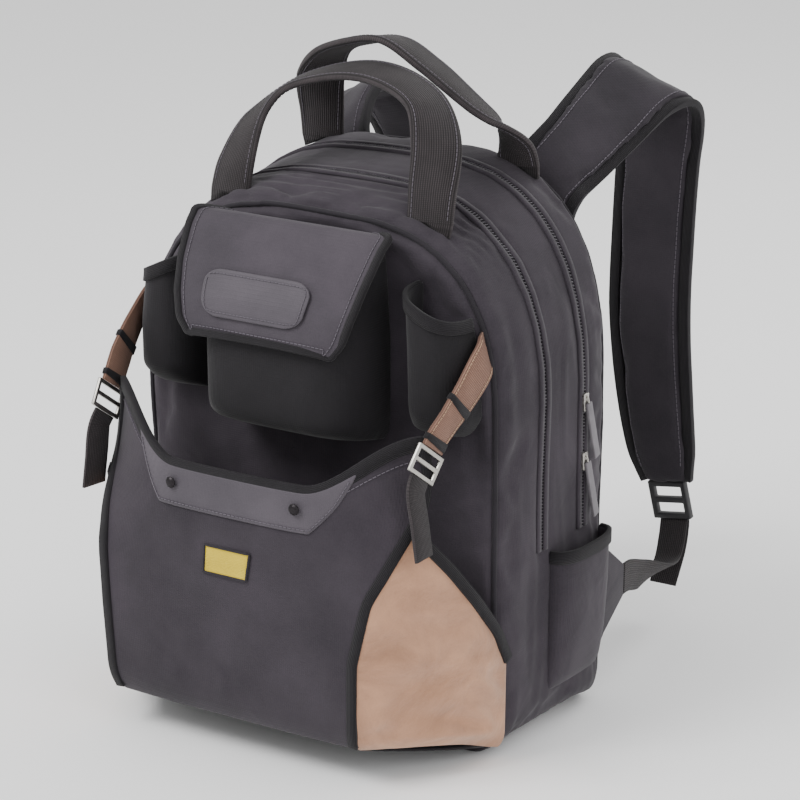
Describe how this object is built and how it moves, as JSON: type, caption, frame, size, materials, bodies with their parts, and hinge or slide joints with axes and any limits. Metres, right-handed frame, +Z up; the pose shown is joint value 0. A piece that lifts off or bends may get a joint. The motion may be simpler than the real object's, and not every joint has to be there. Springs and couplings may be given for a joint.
{
  "type": "tool backpack",
  "caption": "Standing cloth tool backpack with a zipped body, an open front pocket with tan gussets, a flap pocket, tool pockets, webbing carry handles and padded shoulder straps.",
  "frame": {"origin": "on the floor under the middle of the main body, in the flat bottom of the middle gusset", "axes": "+Z up, the pocket side faces -Y, the side shown in the picture is +X"},
  "size_m": [0.3682, 0.4704, 0.523],
  "materials": {
    "body_cloth": "woven cloth, charcoal grey",
    "panel_cloth": "woven cloth, dark grey",
    "trim_cloth": "coated cloth, mid grey",
    "flap_cloth": "woven cloth, mid grey",
    "webbing": "ribbed webbing, brown-black",
    "padding": "knitted cloth over foam, black",
    "tan_cloth": "suede-like cloth, tan",
    "tan_webbing": "flat webbing, dusty tan",
    "label": "plain woven label, yellow",
    "metal": "pressed steel, slightly worn",
    "zip": "zip tape with a grey coil",
    "pull": "moulded pull, satin grey",
    "plastic": "moulded plastic, black"
  },
  "bodies": {
    "root": {"body_front_panel": "panel_cloth", "front_gusset": "body_cloth", "middle_gusset": "body_cloth", "rear_gusset": "body_cloth", "back_panel": "padding", "front_zip_tape": "zip", "rear_zip_tape": "zip", "zip_slider_1": "metal", "zip_slider_2": "metal", "zip_slider_3": "metal", "zip_pull_1": "pull", "zip_pull_2": "pull", "zip_pull_3": "pull", "upper_pocket": "panel_cloth", "tool_pocket_right": "panel_cloth", "tool_pocket_left": "panel_cloth", "side_pouch_right": "body_cloth", "side_pouch_left": "body_cloth", "upper_pocket_flap": "flap_cloth", "flap_patch": "trim_cloth", "front_pocket_panel": "panel_cloth", "front_pocket_trim": "trim_cloth", "pocket_label": "label", "trim_rivet_right": "metal", "trim_rivet_left": "metal", "pocket_gusset_right": "tan_cloth", "pocket_gusset_left": "tan_cloth", "front_pocket_bottom": "panel_cloth", "pocket_strap_right": "tan_webbing", "pocket_buckle_right": "metal", "pocket_tail_right": "webbing", "pocket_strap_left": "tan_webbing", "pocket_buckle_left": "metal", "pocket_tail_left": "webbing", "front_handle": "webbing", "rear_handle": "webbing", "shoulder_strap_right": "padding", "strap_buckle_right": "plastic", "lower_webbing_right": "webbing", "webbing_tail_right": "webbing", "webbing_tab_right": "body_cloth", "shoulder_strap_left": "padding", "strap_buckle_left": "plastic", "lower_webbing_left": "webbing", "webbing_tail_left": "webbing", "webbing_tab_left": "body_cloth"}
  },
  "joints": []
}
